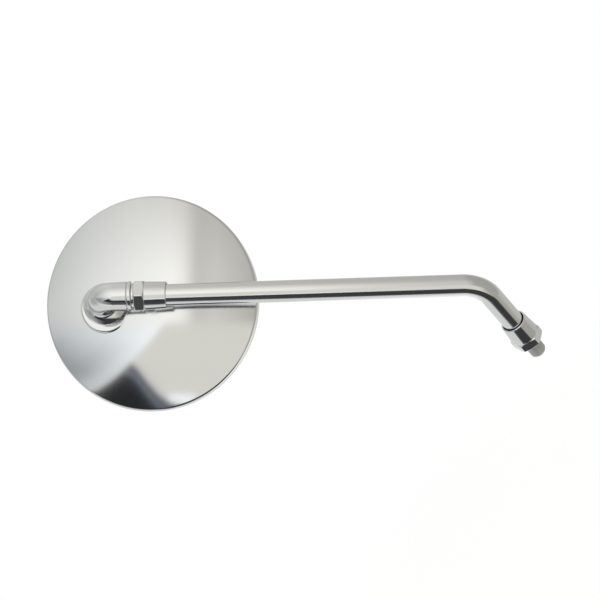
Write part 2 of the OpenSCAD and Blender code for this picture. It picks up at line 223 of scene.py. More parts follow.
def rounded(corners, steps=6):
    """Path through (r, z, radius) corners, with each corner turned into a small arc."""
    path = []
    last = len(corners) - 1
    for i, (x, z, radius) in enumerate(corners):
        here = Vector((x, z))
        if i == 0 or i == last or radius <= 0:
            path.append(here)
            continue
        back = Vector(corners[i - 1][:2]) - here
        ahead = Vector(corners[i + 1][:2]) - here
        angle = back.angle(ahead)
        if angle > math.pi - 0.01:
            path.append(here)
            continue
        reach = radius / math.tan(angle / 2)
        reach = min(reach, 0.49 * back.length, 0.49 * ahead.length)
        size = reach * math.tan(angle / 2)
        middle = here + (back.normalized() + ahead.normalized()).normalized() * (size / math.sin(angle / 2))
        start = here + back.normalized() * reach - middle
        end = here + ahead.normalized() * reach - middle
        sweep = start.angle_signed(end)
        for k in range(steps + 1):
            bend = -sweep * k / steps
            path.append(middle + Matrix.Rotation(bend, 2) @ start)
    return path


def arc(centre_x, centre_z, radius, start, end, steps):
    """Points of an arc, with angles in degrees from the Z axis towards X."""
    points = []
    for k in range(steps + 1):
        a = math.radians(start + (end - start) * k / steps)
        points.append(Vector((centre_x + radius * math.sin(a), centre_z + radius * math.cos(a))))
    return points


def spaced(path, longest):
    """The path with its long straights cut up, and points close to both ends of each straight."""
    points = [path[0]]
    for a, b in zip(path, path[1:]):
        length = (b - a).length
        if length > 0.35:
            points.append(a.lerp(b, 0.06 / length))
        count = int(length / longest)
        for k in range(1, count + 1):
            points.append(a.lerp(b, k / (count + 1)))
        if length > 0.35:
            points.append(a.lerp(b, 1 - 0.06 / length))
        points.append(b)
    return points


# Meshes

def skin(name, rings, closed=False, caps=(False, False)):
    """Smooth mesh through rings of points in millimetres; a closed skin joins its last ring to its first."""
    count = len(rings[0])
    points = [p * MM for ring in rings for p in ring]
    faces = []
    total = len(rings)
    for i in range(total if closed else total - 1):
        here = i * count
        above = ((i + 1) % total) * count
        for k in range(count):
            n = (k + 1) % count
            faces.append((here + k, here + n, above + n, above + k))
    if caps[0]:
        faces.append(tuple(reversed(range(count))))
    if caps[1]:
        faces.append(tuple(range((total - 1) * count, total * count)))
    mesh = bpy.data.meshes.new(name)
    mesh.from_pydata(points, [], faces)
    mesh.update()
    mesh.polygons.foreach_set("use_smooth", [True] * len(mesh.polygons))
    piece = bpy.data.objects.new(name, mesh)
    bpy.context.scene.collection.objects.link(piece)
    return piece


def lathe(place, path, segments, radius_at=None):
    """Rings of a path turned about the Z axis of its place. radius_at may change a radius."""
    rings = []
    for p in path:
        ring = []
        for k in range(segments):
            a = 2 * math.pi * k / segments
            r = p.x
            if radius_at is not None:
                r = radius_at(p, a)
            ring.append(place @ Vector((r * math.cos(a), r * math.sin(a), p.y)))
        rings.append(ring)
    return rings


def sweep(stations, segments):
    """Rings round stations of (place, radius), each in the XY plane of its place."""
    rings = []
    for place, radius in stations:
        ring = []
        for k in range(segments):
            a = 2 * math.pi * k / segments
            ring.append(place @ Vector((radius * math.cos(a), radius * math.sin(a), 0)))
        rings.append(ring)
    return rings


def crisp(piece, degrees=28.0):
    """Keeps edges sharper than this angle crisp, and weighs normals by face area."""
    piece.data.set_sharp_from_angle(angle=math.radians(degrees))
    weigh = piece.modifiers.new("even normals", "WEIGHTED_NORMAL")
    weigh.mode = "FACE_AREA_WITH_ANGLE"
    weigh.keep_sharp = True
    weigh.weight = 80
    return piece


def place_piece(piece, body, nodes, material):
    """Gives a finished piece its body, the CAD nodes it stands for and its material."""
    piece.data.materials.append(material)
    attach(piece, body)
    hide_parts(*nodes)
    return piece


def soft_least(a, b, blend):
    """Smaller of two numbers, with the change from one to the other rounded off."""
    near = max(blend - abs(a - b), 0.0) / blend
    return min(a, b) - near * near * blend / 4


# Node helpers

class Wires:
    """Short ways to add nodes to a tree."""

    def __init__(self, tree):
        self.tree = tree

    def add(self, kind, **values):
        node = self.tree.nodes.new(kind)
        for key, value in values.items():
            setattr(node, key, value)
        return node

    def put(self, value, socket):
        if isinstance(value, bpy.types.NodeSocket):
            self.tree.links.new(value, socket)
        else:
            socket.default_value = value

    def math(self, operation, a, b=0.0, clamp=False):
        node = self.add("ShaderNodeMath", operation=operation, use_clamp=clamp)
        self.put(a, node.inputs[0])
        self.put(b, node.inputs[1])
        return node.outputs[0]

    def dot(self, vector, axis):
        node = self.add("ShaderNodeVectorMath", operation="DOT_PRODUCT")
        self.put(vector, node.inputs[0])
        node.inputs[1].default_value = axis
        return node.outputs["Value"]

    def span(self, value, low, high, out_low=0.0, out_high=1.0, smooth=True):
        node = self.add("ShaderNodeMapRange", clamp=True)
        if smooth:
            node.interpolation_type = "SMOOTHSTEP"
        self.put(value, node.inputs["Value"])
        node.inputs["From Min"].default_value = low
        node.inputs["From Max"].default_value = high
        node.inputs["To Min"].default_value = out_low
        node.inputs["To Max"].default_value = out_high
        return node.outputs["Result"]

    def mix(self, factor, a, b, blend="MIX"):
        node = self.add("ShaderNodeMix", data_type="RGBA", blend_type=blend)
        self.put(factor, node.inputs[0])
        for value, socket in ((a, node.inputs[6]), (b, node.inputs[7])):
            if isinstance(value, tuple):
                value = (*value, 1.0)[:4]
            self.put(value, socket)
        return node.outputs[2]

    def ramp(self, value, stops, mode="EASE"):
        node = self.add("ShaderNodeValToRGB")
        node.color_ramp.interpolation = mode
        elements = node.color_ramp.elements
        while len(elements) < len(stops):
            elements.new(0.5)
        for element, (position, colour) in zip(elements, stops):
            element.position = position
            element.color = (*colour, 1.0)
        self.put(value, node.inputs[0])
        return node.outputs[0]

    def noise(self, vector, scale, detail=2.0, roughness=0.5, distortion=0.0):
        node = self.add("ShaderNodeTexNoise")
        self.put(vector, node.inputs["Vector"])
        node.inputs["Scale"].default_value = scale
        node.inputs["Detail"].default_value = detail
        node.inputs["Roughness"].default_value = roughness
        node.inputs["Distortion"].default_value = distortion
        return node.outputs["Fac"]


def tone(red, green, blue):
    """Linear colour of screen values from 0 to 255."""
    values = []
    for v in (red, green, blue):
        s = v / 255
        values.append(s / 12.92 if s <= 0.04045 else ((s + 0.055) / 1.055) ** 2.4)
    return tuple(values)


def card(red, green, blue):
    """Colour of a studio card that the chrome shows as these screen values."""
    return tuple(v / CHROME_SHINE for v in tone(red, green, blue))


def side_grey(level, angle):
    """Card of a grey level that is neutral on the left and warm from the middle to the right."""
    warmth = min(max((angle + 60) / 60, 0.0), 1.0)
    return card(level, level + 1 - 4 * warmth, level - 2 - 7 * warmth)


def new_group(name, inputs, outputs):
    """Empty shader node group with named sockets, and its wires, input node and output node."""
    tree = bpy.data.node_groups.new(name, "ShaderNodeTree")
    for label, kind, default in inputs:
        socket = tree.interface.new_socket(label, in_out="INPUT", socket_type=kind)
        if default is not None:
            socket.default_value = default
    for label, kind in outputs:
        tree.interface.new_socket(label, in_out="OUTPUT", socket_type=kind)
    wires = Wires(tree)
    source = wires.add("NodeGroupInput")
    sink = wires.add("NodeGroupOutput")
    return tree, wires, source, sink


def scratches_group():
    """Fine polishing and wiping scratches: a mask and a height."""
    name = "Fine Scratches"
    if name in bpy.data.node_groups:
        return bpy.data.node_groups[name]
    tree, w, source, sink = new_group(
        name,
        (("Vector", "NodeSocketVector", None), ("Scale", "NodeSocketFloat", 60.0),
         ("Amount", "NodeSocketFloat", 0.5)),
        (("Mask", "NodeSocketFloat"), ("Height", "NodeSocketFloat")))
    total = None
    for angle, stretch, seed in ((0.35, 26.0, 1.7), (1.45, 30.0, 5.3), (2.5, 22.0, 9.1)):
        lean = w.add("ShaderNodeMapping")
        lean.inputs["Rotation"].default_value = (angle * 0.6, angle * 1.3, angle)
        lean.inputs["Location"].default_value = (seed, seed * 0.7, seed * 1.9)
        lean.inputs["Scale"].default_value = (1.0, stretch, stretch)
        w.put(source.outputs["Vector"], lean.inputs["Vector"])
        cloud = w.add("ShaderNodeTexNoise")
        cloud.inputs["Detail"].default_value = 1.0
        w.put(lean.outputs["Vector"], cloud.inputs["Vector"])
        w.put(source.outputs["Scale"], cloud.inputs["Scale"])
        line = w.span(cloud.outputs["Fac"], 0.66, 0.74)
        total = line if total is None else w.math("MAXIMUM", total, line)
    mask = w.math("MULTIPLY", total, source.outputs["Amount"], clamp=True)
    w.put(mask, sink.inputs["Mask"])
    w.put(w.math("SUBTRACT", 0.0, mask), sink.inputs["Height"])
    return tree


def smudges_group():
    """Faint cloudy marks that handling and wiping leave on polished metal."""
    name = "Handling Smudges"
    if name in bpy.data.node_groups:
        return bpy.data.node_groups[name]
    tree, w, source, sink = new_group(
        name,
        (("Vector", "NodeSocketVector", None), ("Scale", "NodeSocketFloat", 40.0),
         ("Low", "NodeSocketFloat", 0.02), ("High", "NodeSocketFloat", 0.10)),
        (("Roughness", "NodeSocketFloat"), ("Mask", "NodeSocketFloat")))
    wide = w.add("ShaderNodeTexNoise")
    wide.inputs["Detail"].default_value = 4.0
    w.put(source.outputs["Vector"], wide.inputs["Vector"])
    w.put(source.outputs["Scale"], wide.inputs["Scale"])
    fine = w.add("ShaderNodeTexNoise")
    fine.inputs["Detail"].default_value = 3.0
    w.put(source.outputs["Vector"], fine.inputs["Vector"])
    w.put(w.math("MULTIPLY", source.outputs["Scale"], 6.0), fine.inputs["Scale"])
    both = w.math("MULTIPLY", w.span(wide.outputs["Fac"], 0.45, 0.75), w.span(fine.outputs["Fac"], 0.3, 0.7))
    reach = w.math("SUBTRACT", source.outputs["High"], source.outputs["Low"])
    rough = w.math("ADD", w.math("MULTIPLY", both, reach), source.outputs["Low"])
    w.put(rough, sink.inputs["Roughness"])
    w.put(both, sink.inputs["Mask"])
    return tree


def ripple_group():
    """Slow unevenness of a polished casting or pressing, and fine pits on top of it."""
    name = "Polished Unevenness"
    if name in bpy.data.node_groups:
        return bpy.data.node_groups[name]
    tree, w, source, sink = new_group(
        name,
        (("Vector", "NodeSocketVector", None), ("Scale", "NodeSocketFloat", 100.0),
         ("Pits", "NodeSocketFloat", 0.1)),
        (("Height", "NodeSocketFloat"),))
    slow = w.add("ShaderNodeTexNoise")
    slow.inputs["Detail"].default_value = 1.0
    w.put(source.outputs["Vector"], slow.inputs["Vector"])
    w.put(source.outputs["Scale"], slow.inputs["Scale"])
    pits = w.add("ShaderNodeTexVoronoi")
    w.put(source.outputs["Vector"], pits.inputs["Vector"])
    w.put(w.math("MULTIPLY", source.outputs["Scale"], 9.0), pits.inputs["Scale"])
    pit = w.math("MULTIPLY", w.span(pits.outputs["Distance"], 0.0, 0.12, 1.0, 0.0), source.outputs["Pits"])
    w.put(w.math("SUBTRACT", slow.outputs["Fac"], pit), sink.inputs["Height"])
    return tree


def place_group(w, tree, vector, **values):
    """A node group placed in a material with its own values."""
    node = w.add("ShaderNodeGroup")
    node.node_tree = tree
    w.put(vector, node.inputs["Vector"])
    for label, value in values.items():
        node.inputs[label].default_value = value
    return node


def new_material(name):
    """Material with a Principled shader, its wires, object coordinates and shader node."""
    material = bpy.data.materials.new(name)
    material.use_nodes = True
    w = Wires(material.node_tree)
    shader = material.node_tree.nodes["Principled BSDF"]
    coordinates = w.add("ShaderNodeTexCoord").outputs["Object"]
    return material, w, shader, coordinates


def chrome(name, colour, ripple, ripple_depth, low, high, scratch=0.5, tint=(0.70, 0.69, 0.66)):
    """Bright chrome with fine scratches, smudges and the unevenness of what lies under it."""
    material, w, shader, vector = new_material(name)
    marks = place_group(w, scratches_group(), vector, Scale=70.0, Amount=scratch)
    smudge = place_group(w, smudges_group(), vector, Scale=38.0, Low=low, High=high)
    uneven = place_group(w, ripple_group(), vector, Scale=ripple, Pits=0.04)
    shader.inputs["Metallic"].default_value = 1.0
    worn = w.mix(w.math("MULTIPLY", smudge.outputs["Mask"], 0.22), tuple(colour), tint)
    rough = w.math("ADD", smudge.outputs["Roughness"], w.math("MULTIPLY", marks.outputs["Mask"], 0.06))
    w.put(worn, shader.inputs["Base Color"])
    w.put(rough, shader.inputs["Roughness"])
    slow = w.add("ShaderNodeBump")
    slow.inputs["Strength"].default_value = 1.0
    slow.inputs["Distance"].default_value = ripple_depth
    w.put(uneven.outputs["Height"], slow.inputs["Height"])
    fine = w.add("ShaderNodeBump")
    fine.inputs["Strength"].default_value = 0.25
    fine.inputs["Distance"].default_value = 0.000004
    w.put(marks.outputs["Height"], fine.inputs["Height"])
    w.put(slow.outputs["Normal"], fine.inputs["Normal"])
    w.put(fine.outputs["Normal"], shader.inputs["Normal"])
    return material


def bare_steel(name, colour, dark, low, high, grain=260.0):
    """Plated or bare steel with turned grain, blotches and darker hollows."""
    material, w, shader, vector = new_material(name)
    marks = place_group(w, scratches_group(), vector, Scale=150.0, Amount=0.8)
    smudge = place_group(w, smudges_group(), vector, Scale=90.0, Low=low, High=high)
    blotch = w.span(w.noise(vector, grain, 5.0, 0.6), 0.35, 0.68)
    shader.inputs["Metallic"].default_value = 1.0
    w.put(w.mix(blotch, tuple(dark), tuple(colour)), shader.inputs["Base Color"])
    rough = w.math("ADD", smudge.outputs["Roughness"], w.math("MULTIPLY", marks.outputs["Mask"], 0.12))
    w.put(rough, shader.inputs["Roughness"])
    bump = w.add("ShaderNodeBump")
    bump.inputs["Strength"].default_value = 0.5
    bump.inputs["Distance"].default_value = 0.00002
    w.put(w.math("ADD", blotch, marks.outputs["Height"]), bump.inputs["Height"])
    w.put(bump.outputs["Normal"], shader.inputs["Normal"])
    return material


def thread_steel(name, colour, root):
    """Threaded steel whose thread roots carry painted shade, near black, while the crests keep the steel's
    colour.
    """
    material = bare_steel(name, colour, tuple(c * 0.8 for c in colour), 0.10, 0.22)
    w = Wires(material.node_tree)
    shader = material.node_tree.nodes["Principled BSDF"]
    vector = w.add("ShaderNodeTexCoord").outputs["Object"]
    flat = w.add("ShaderNodeVectorMath", operation="MULTIPLY")
    w.put(vector, flat.inputs[0])
    flat.inputs[1].default_value = (1.0, 1.0, 0.0)
    radius = w.add("ShaderNodeVectorMath", operation="LENGTH")
    w.put(flat.outputs[0], radius.inputs[0])
    # Painted shade: a near-black colour in the thread roots, changing to the steel's colour towards the
    # crests
    crest = w.span(radius.outputs["Value"], (STUD_R - 0.55) * MM, (STUD_R - 0.18) * MM)
    metal = shader.inputs["Base Color"].links[0].from_socket
    w.put(w.mix(crest, root, metal), shader.inputs["Base Color"])
    return material


def dull(name, colour, light, grain, depth, rough):
    """Rubber, foam or nylon: a dull grainy surface."""
    material, w, shader, vector = new_material(name)
    smudge = place_group(w, smudges_group(), vector, Scale=60.0, Low=rough, High=min(rough + 0.2, 1.0))
    cloud = w.noise(vector, grain, 4.0, 0.6)
    w.put(w.mix(w.span(cloud, 0.3, 0.75), tuple(colour), tuple(light)), shader.inputs["Base Color"])
    w.put(smudge.outputs["Roughness"], shader.inputs["Roughness"])
    bump = w.add("ShaderNodeBump")
    bump.inputs["Strength"].default_value = 0.6
    bump.inputs["Distance"].default_value = depth
    w.put(cloud, bump.inputs["Height"])
    w.put(bump.outputs["Normal"], shader.inputs["Normal"])
    return material


def silvered_glass(name):
    """Mirror glass, silvered behind, with wiping marks and a little dust."""
    material, w, shader, vector = new_material(name)
    marks = place_group(w, scratches_group(), vector, Scale=45.0, Amount=0.35)
    smudge = place_group(w, smudges_group(), vector, Scale=28.0, Low=0.008, High=0.05)
    dust = w.span(w.noise(vector, 900.0, 3.0, 0.7), 0.66, 0.78)
    shader.inputs["Metallic"].default_value = 1.0
    shader.inputs["Coat Weight"].default_value = 0.6
    shader.inputs["Coat Roughness"].default_value = 0.01
    dusty = w.mix(w.math("MULTIPLY", dust, 0.5), (0.80, 0.84, 0.85), (0.62, 0.62, 0.60))
    w.put(dusty, shader.inputs["Base Color"])
    rough = w.math("ADD", smudge.outputs["Roughness"], w.math("MULTIPLY", marks.outputs["Mask"], 0.05))
    w.put(rough, shader.inputs["Roughness"])
    bump = w.add("ShaderNodeBump")
    bump.inputs["Strength"].default_value = 0.2
    bump.inputs["Distance"].default_value = 0.000003
    w.put(marks.outputs["Height"], bump.inputs["Height"])
    w.put(bump.outputs["Normal"], shader.inputs["Normal"])
    return material


def finish_of(slot):
    """Material for a slot of the record.

    The frame's import has a plain material for every slot already, so the first lines always
    give that one back, and the finishes below them are not reached and have not been tested.
    """
    if slot in bpy.data.materials:
        return bpy.data.materials[slot]
    settings = bpy.context.scene.mirror_parts
    bright = settings.chrome_colour
    stud = settings.stud_colour
    if slot == "shell_chrome":
        return chrome(slot, bright, 45.0, 0.0000010, 0.005, 0.018, 0.3)
    if slot == "elbow_chrome":
        return chrome(slot, bright, 160.0, 0.000012, 0.035, 0.09)
    if slot == "nut_chrome":
        return chrome(slot, bright, 200.0, 0.000004, 0.03, 0.08)
    if slot == "tube_chrome":
        return chrome(slot, bright, 110.0, 0.000002, 0.02, 0.06)
    if slot == "stud_steel":
        # The third colour is the painted shade in the thread roots
        return thread_steel(slot, tuple(stud), (0.045, 0.046, 0.05))
    if slot == "plated_steel":
        return bare_steel(slot, (0.58, 0.57, 0.52), (0.44, 0.43, 0.38), 0.28, 0.45)
    if slot == "spring_steel":
        return bare_steel(slot, (0.30, 0.29, 0.28), (0.18, 0.17, 0.16), 0.30, 0.50)
    if slot == "mirror_glass":
        return silvered_glass(slot)
    if slot == "pad_foam":
        return dull(slot, (0.030, 0.030, 0.032), (0.055, 0.055, 0.058), 1400.0, 0.00015, 0.75)
    if slot == "seal_rubber":
        return dull(slot, (0.020, 0.020, 0.021), (0.040, 0.040, 0.042), 800.0, 0.00003, 0.5)
    if slot == "friction_nylon":
        return dull(slot, (0.055, 0.055, 0.058), (0.085, 0.085, 0.088), 600.0, 0.00002, 0.35)
    raise ValueError(f"no finish for slot {slot}")


# Pieces

def dome_height(x, y):
    """Outside of the dome over a point in the head's frame."""
    return DOME_Z + math.sqrt(DOME_R ** 2 - (x - BOSS_OFFSET) ** 2 - y * y)


def boss_height(rho):
    """Outside of the flat boss, which falls off steeply past its edge."""
    edge = BOSS_R - BOSS_EDGE_R
    if rho <= edge:
        return BOSS_H
    if rho <= BOSS_R - 0.02:
        return BOSS_H - BOSS_EDGE_R + math.sqrt(max(BOSS_EDGE_R ** 2 - (rho - edge) ** 2, 0.0))
    return BOSS_H - BOSS_EDGE_R + 0.25 - (rho - BOSS_R + 0.02) * 9.0


def raised_ring(place, count, centre_x, radius, height):
    """Ring about a centre on the X axis of its place, at the height that a function of x and y gives."""
    ring = []
    for k in range(count):
        a = 2 * math.pi * k / count
        x = centre_x + radius * math.cos(a)
        y = radius * math.sin(a)
        ring.append(place @ Vector((x, y, height(x, y))))
    return ring


def shell_rings():
    """Rings of the shell from the seat's hole out over the boss and dome to the rim and its lip."""
    head = on_head()
    blend = bpy.context.scene.mirror_parts.boss_blend / MM
    segments = 288
    rings = []
    fillet_x = FILLET_X

    def outside(x, y):
        """Outside of the shell where the boss and the dome meet."""
        return -soft_least(-dome_height(x, y), -boss_height(math.hypot(x, y)), blend)

    def mostly_dome(x, y):
        """Outside of the shell, with the boss only near it."""
        return outside(x, y) if math.hypot(x, y) < BOSS_R + 3 else dome_height(x, y)

    hole = math.degrees(math.asin(SEAT_HOLE_R / BALL_R))
    lean = math.degrees(math.atan2(fillet_x, BOSS_H + BOSS_FILLET))
    inner = BALL_R - SHEET_T
    hole_in = math.degrees(math.asin(SEAT_HOLE_R / inner))
    seat = arc(0, 0, inner, 52.0, hole_in, 10)
    seat += arc(0, 0, BALL_R, hole, lean, 16)
    seat += arc(fillet_x, BOSS_H + BOSS_FILLET, BOSS_FILLET, 180 + lean, 180, 8)[1:]
    rings += lathe(head, seat, segments)
    rhos = [fillet_x + (BOSS_R - BOSS_EDGE_R - 0.4 - fillet_x) * k / 5 for k in range(1, 6)]
    rhos += [BOSS_R - BOSS_EDGE_R - 0.4 + (2.6 * k / 40) for k in range(1, 41)]
    for rho in rhos:
        rings.append(raised_ring(head, segments, 0.0, rho, outside))
    start_r = rhos[-1]
    end_r = CORNER_X * DOME_R / (DOME_R - CORNER_R)
    count = 56
    for k in range(1, count + 1):
        t = k / count
        r = start_r + (end_r - start_r) * t
        rings.append(raised_ring(head, segments, BOSS_OFFSET * t, r, mostly_dome))
    lean = math.degrees(math.atan2(CORNER_X, CORNER_Z - DOME_Z))
    bend_x = HEAD_R - RIM_BEND_R
    bend_z = RIM_Z + RIM_BEND_R
    rim = arc(CORNER_X, CORNER_Z, CORNER_R, lean, 90, 12)[1:]
    rim += spaced([Vector((HEAD_R, CORNER_Z)), Vector((HEAD_R, bend_z))], 1.0)[1:-1]
    rim += arc(bend_x, bend_z, RIM_BEND_R, 90, 180, 10)
    lip_x = HEAD_R - LIP_W
    turned = rounded([(bend_x, RIM_Z, 0), (lip_x, RIM_Z, 0.3), (lip_x, LIP_Z, 0.3), (bend_x, LIP_Z, 0)])
    rim += turned[1:-1]
    inside_r = RIM_BEND_R - SHEET_T
    rim += arc(bend_x, bend_z, inside_r, 180, 90, 6)
    rim += spaced([Vector((HEAD_R - SHEET_T, bend_z)), Vector((HEAD_R - SHEET_T, CORNER_Z))], 1.5)[1:]
    rim += arc(CORNER_X, CORNER_Z, CORNER_R - SHEET_T, 90, lean, 6)[1:]
    rings += lathe(head @ shift(BOSS_OFFSET, 0, 0), rim, segments)
    inside_r = end_r - SHEET_T * 0.4
    low_r = BOSS_R + 2.2
    for k in range(1, 25):
        t = k / 24
        r = inside_r + (low_r - inside_r) * t
        under_dome = raised_ring(head, segments, BOSS_OFFSET * (1 - t), r,
                                 lambda x, y: dome_height(x, y) - SHEET_T)
        rings.append(under_dome)
    for rho in (15.6, 15.0, 14.4, 13.9):
        rings.append(raised_ring(head, segments, 0.0, rho, lambda x, y: outside(x, y) - SHEET_T))
    inside = [Vector((13.2, BOSS_H - SHEET_T)), Vector((fillet_x + 0.2, BOSS_H - SHEET_T))]
    rings += lathe(head, inside, segments)
    return rings


def glass_rings():
    """Closed rings of the gently convex glass with ground edges."""
    seal_outer = HEAD_R - SHEET_T - REST_GAP
    rim_r = seal_outer - SEAL_T - REST_GAP
    edge_z = LIP_Z + SEAL_T + REST_GAP
    centre = edge_z + math.sqrt(GLASS_R ** 2 - rim_r ** 2)
    place = on_head() @ shift(BOSS_OFFSET, 0, 0)
    path = []
    for k in range(25):
        r = 0.2 + (rim_r - 0.35 - 0.2) * k / 24
        path.append(Vector((r, centre - math.sqrt(GLASS_R ** 2 - r * r))))
    back_r = GLASS_R - GLASS_T
    front = path[-1].y
    bevel = rounded([(rim_r - 0.35, front, 0), (rim_r, front + 0.3, 0.15),
                     (rim_r, front + GLASS_T - 0.4, 0.15), (rim_r - 0.35, front + GLASS_T - 0.05, 0)])
    path += bevel[1:-1]
    for k in range(12):
        r = (rim_r - 0.4) * (1 - k / 11.5)
        path.append(Vector((r, centre - math.sqrt(back_r ** 2 - r * r))))
    return lathe(place, path, 192)


def elbow_rings():
    """Closed rings of the cast elbow: cup, groove, bell, bend, end face and bore."""
    pivot = on_pivot()
    groove_r = BELL_R - FOOT_T
    lean = math.degrees(math.atan2(BELL_FILLET_X, BELL_FILLET_H))
    foot = math.degrees(math.atan2(FOOT_R, FOOT_H))
    bore = math.degrees(math.asin(PIVOT_BORE_R / CUP_R))
    path = arc(0, 0, CUP_R, bore, CUP_LIP_DEGREES, 15)
    wall_low = path[-1].y
    wall_top = math.sqrt(groove_r ** 2 - CUP_WALL_R ** 2)
    path += rounded([(path[-1].x, wall_low, 0), (CUP_WALL_R + 0.12, wall_low, 0.1),
                     (CUP_WALL_R + 0.12, wall_top, 0.4), (CUP_WALL_R + 0.9, wall_top - 0.4, 0)])[1:]
    groove_in = math.degrees(math.asin((CUP_WALL_R + 0.9) / groove_r))
    inside_x = math.sqrt(groove_r ** 2 - FOOT_H ** 2)
    groove_out = math.degrees(math.atan2(inside_x, FOOT_H))
    path += arc(0, 0, groove_r, groove_in, groove_out, 10)[1:-1]
    rim = [(path[-1].x, path[-1].y, 0), (inside_x, FOOT_H, 0.25), (FOOT_R, FOOT_H, 0.35)]
    over = foot - 6.0
    rim.append((BELL_R * math.sin(math.radians(over)), BELL_R * math.cos(math.radians(over)), 0))
    path += rounded(rim)[1:]
    path += arc(0, 0, BELL_R, over, lean, 18)[1:]
    path += arc(BELL_FILLET_X, BELL_FILLET_H, BELL_FILLET, 180 + lean, 270, 10)[1:]
    stations = [(pivot @ shift(0, 0, p.y), p.x) for p in path]
    leg_top = PIVOT_DROP - ELBOW_BEND_R
    if path[-1].y < leg_top - 0.2:
        for k in range(1, 4):
            z = path[-1].y + (leg_top - path[-1].y) * k / 4
            stations.append((pivot @ shift(0, 0, z), PIPE_R))
    for k in range(37):
        a = math.radians(90 * k / 36)
        x = ELBOW_BEND_R * (1 - math.cos(a))
        z = leg_top + ELBOW_BEND_R * math.sin(a)
        stations.append((pivot @ shift(x, 0, z) @ Matrix.Rotation(a, 4, "Y"), PIPE_R))
    end = rounded([(PIPE_R, ELBOW_BEND_R, 0), (PIPE_END_R, ELBOW_REACH - 0.5, 0.3),
                   (PIPE_END_R - 0.5, ELBOW_REACH, 0.12), (THREAD_BORE_R + 0.5, ELBOW_REACH, 0.08),
                   (THREAD_BORE_R, ELBOW_REACH - 0.5, 0.08), (THREAD_BORE_R, 5.0, 0)])
    arm = pivot @ shift(0, 0, PIVOT_DROP) @ turn(90, "Y")
    for p in spaced(end, 1.5)[1:]:
        stations.append((arm @ shift(0, 0, p.y), p.x))
    return sweep(stations, 160)


def hex_radius(angle, blend):
    """Distance to the side of a hexagon whose corners are softened."""
    sector = math.radians(60)
    off = (angle % sector) - sector / 2
    here = NUT_AF / 2 / math.cos(off)
    beside = NUT_AF / 2 / math.cos(sector - abs(off))
    return soft_least(here, beside, blend)


def nut_rings(place, face_h, length, root_r, mouth_r, skirt_bore_r):
    """Closed rings of a lock nut: bearing face, chamfered hexagon, tapered skirt, mouth and bore."""
    blend = bpy.context.scene.mirror_parts.nut_edge / MM
    corner = NUT_AF / math.sqrt(3)
    flat = NUT_AF / 2 - 0.1
    slope = math.tan(math.radians(30))
    skirt_z = face_h + NUT_HEX_H
    half = (0.5, 1, 1.5, 2, 2.6, 3.4, 4.5, 6, 8, 11, 15, 20, 25)
    angles = []
    for side in range(6):
        for off in (-30, *(-step for step in reversed(half)), 0, *half):
            angles.append(math.radians(60 * side + off))

    def hexed(z):
        """Radii round the hexagon at a height in its own frame."""
        low = z / slope + flat
        high = (NUT_HEX_H - z) / slope + flat
        radii = []
        for a in angles:
            side = hex_radius(a, blend)
            radii.append(soft_least(soft_least(side, low, blend), high, blend))
        return radii

    rings = []

    def turned(path):
        """Adds round rings of a path."""
        for p in path:
            rings.append([place @ Vector((p.x * math.cos(a), p.x * math.sin(a), p.y)) for a in angles])

    mouth_z = NUT_FLOOR + face_h
    step_r = STUD_R + 0.4
    sink = step_r - THREAD_BORE_R
    face_r = NUT_AF / 2 - 1.1
    start = [(THREAD_BORE_R, 4.0, 0), (THREAD_BORE_R, sink, 0.1), (step_r, 0, 0.1)]
    if face_h > 0:
        start += [(face_r, 0, 0.3), (face_r, face_h, 0.25), (flat - 0.05, face_h, 0)]
    else:
        start += [(flat - 0.05, 0, 0)]
    turned(spaced(rounded(start), 1.2))
    heights = [0.0, 0.03, 0.08, 0.14, 0.2, 0.27, 0.34, 0.42, 0.5, 0.58, 0.66, 0.74, 0.82, 0.9, 0.98,
               1.08, 1.2, 1.4, 1.8, 2.4, 3.1]
    heights += [NUT_HEX_H - h for h in reversed(heights[:-1])]
    for z in heights:
        radii = hexed(z)
        ring = []
        for a, r in zip(angles, radii):
            ring.append(place @ Vector((r * math.cos(a), r * math.sin(a), face_h + z)))
        rings.append(ring)
    lip = 0.8
    skirt = [(flat - 0.05, skirt_z, 0), (root_r + 0.02, skirt_z, 0.15), (root_r, skirt_z + 0.5, 0.1),
             (mouth_r, length - lip, 0.3), (mouth_r, length, lip), (skirt_bore_r, length, 0.12),
             (skirt_bore_r, mouth_z, 0.2), (THREAD_BORE_R, mouth_z, 0.1), (THREAD_BORE_R, mouth_z - 1.5, 0)]
    if root_r > flat - 0.1:
        skirt[0] = (flat - 0.1, skirt_z + 0.02, 0)
        skirt[1] = (root_r, skirt_z + 0.08, 0.1)
    turned(spaced(rounded(skirt), 1.2))
    return rings


def washer_rings():
    """Closed rings of the thick washer with rounded edges."""
    inner = THREAD_ROOT_R + 0.3
    path = rounded([(inner, WASHER_T / 2, 0), (inner, 0, 0.15), (WASHER_R, 0, 0.5),
                    (WASHER_R, WASHER_T, 0.5), (inner, WASHER_T, 0.15), (inner, WASHER_T / 2 + 0.05, 0)], 8)
    return lathe(on_stem() @ shift(0, 0, UPPER_FACE), spaced(path, 0.8), 128)


